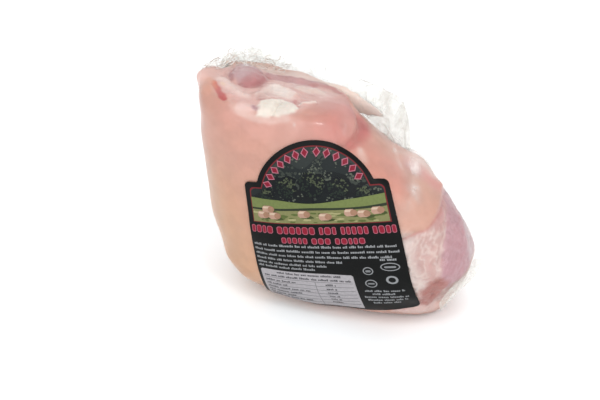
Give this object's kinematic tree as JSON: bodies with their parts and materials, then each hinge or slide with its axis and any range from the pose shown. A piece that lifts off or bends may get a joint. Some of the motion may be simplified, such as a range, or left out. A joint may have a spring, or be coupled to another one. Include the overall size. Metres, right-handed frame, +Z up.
{
  "type": "vacuum-packed pork knuckle",
  "caption": "Pink half-cooked pork knuckle sealed in clear film, cut bone end up, with an arch-topped black printed label on its front.",
  "frame": {"origin": "under the middle of the whole, on the surface that it stands on", "axes": "+X along the knuckle's long way, from the cut bone end's side to the shoulder; +Y from the label to the back; +Z up"},
  "size_m": [0.153, 0.0852, 0.1209],
  "materials": {
    "film": "clear glossy film drawn tight on pale pink skin and meat",
    "meat": "moist pale pink rind, with mauve lean and cream cartilage at the cuts",
    "print": "satin black coated paper with a coloured print"
  },
  "bodies": {
    "root": {"bag": "film", "label": "print"}
  },
  "joints": []
}
